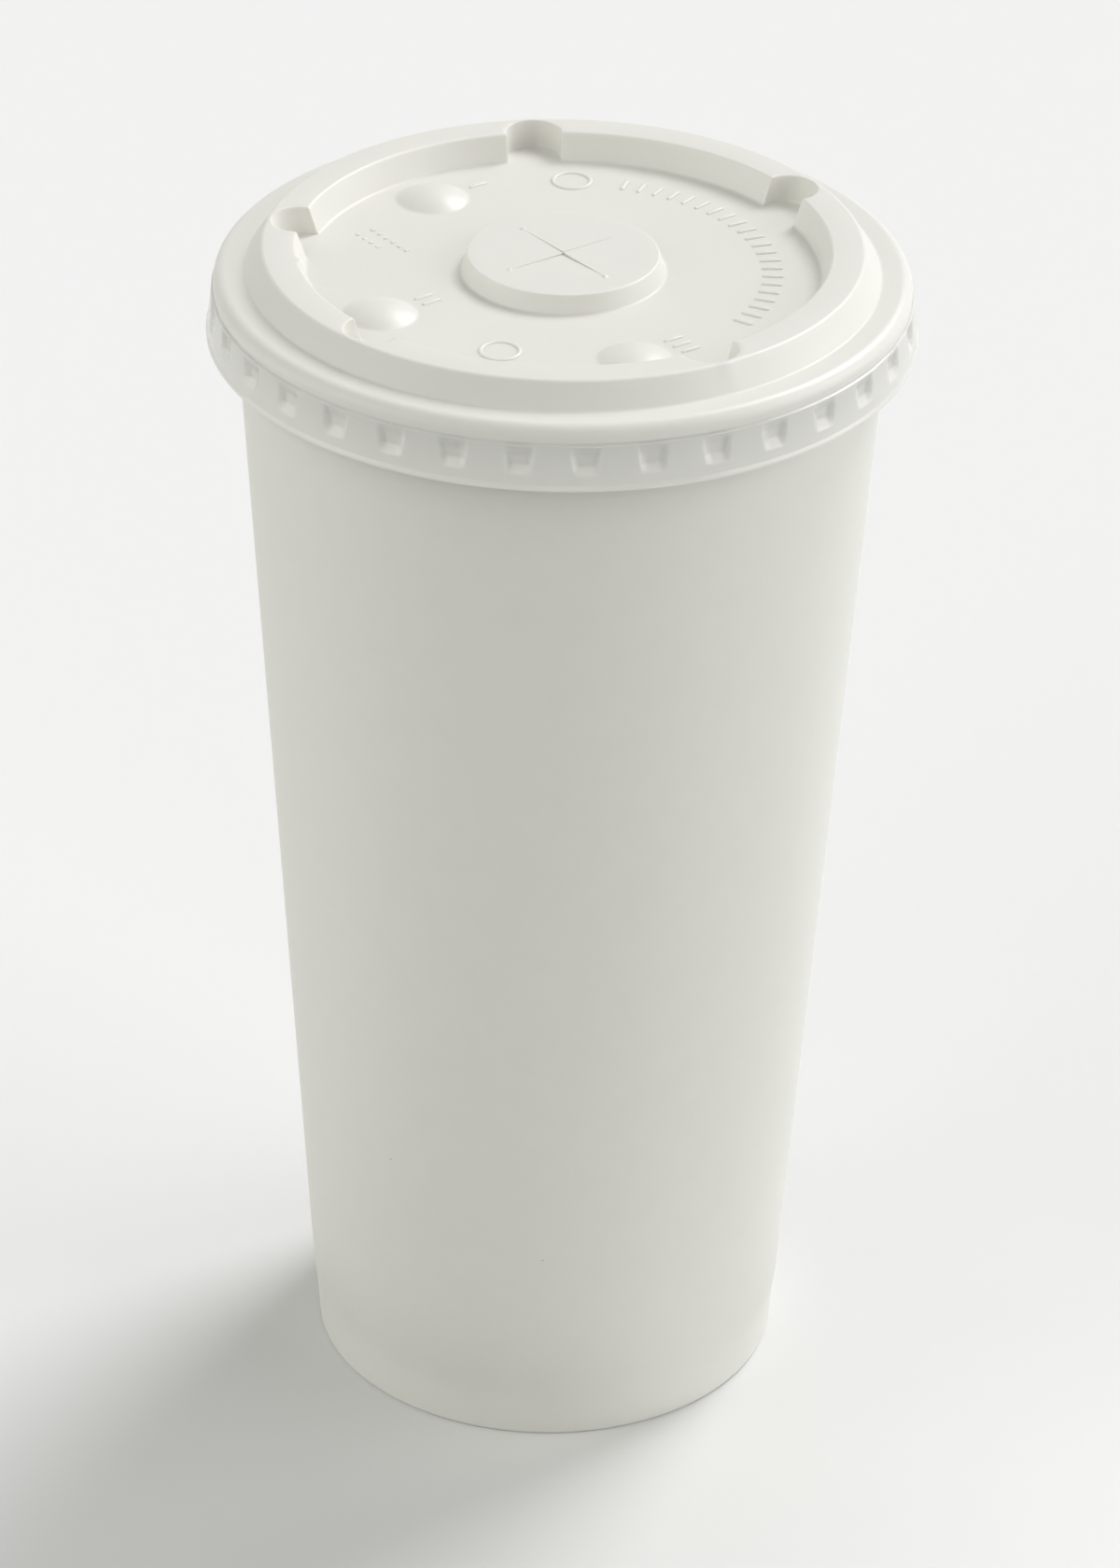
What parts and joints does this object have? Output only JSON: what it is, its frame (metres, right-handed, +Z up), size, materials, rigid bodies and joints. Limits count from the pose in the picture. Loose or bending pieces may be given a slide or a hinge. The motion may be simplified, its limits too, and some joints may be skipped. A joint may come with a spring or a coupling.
{
  "type": "paper cold cup",
  "caption": "Tall tapered paper cold cup with a rolled rim and folded base, closed by a flat push-on lid that has a raised straw boss with a cross cut.",
  "frame": {"origin": "centre of the circle that the cup stands on", "axes": "+Z up along the cup's axis; +Y towards the back, where the side seam runs"},
  "size_m": [0.0924, 0.0924, 0.1657],
  "materials": {
    "sidewall_board": "white coated board, matte, with a faint fibre mottle",
    "base_board": "white coated board, matte",
    "lid_sheet": "thin translucent off-white sheet, satin"
  },
  "bodies": {
    "cup": {"cup_sidewall": "sidewall_board", "base_disc": "base_board"},
    "lid": {"lid": "lid_sheet"}
  },
  "joints": [
    {"name": "lid_lift", "type": "slide", "parent": "cup", "child": "lid", "axis": [0, 0, 1], "range_m": [0, 0.06]}
  ]
}
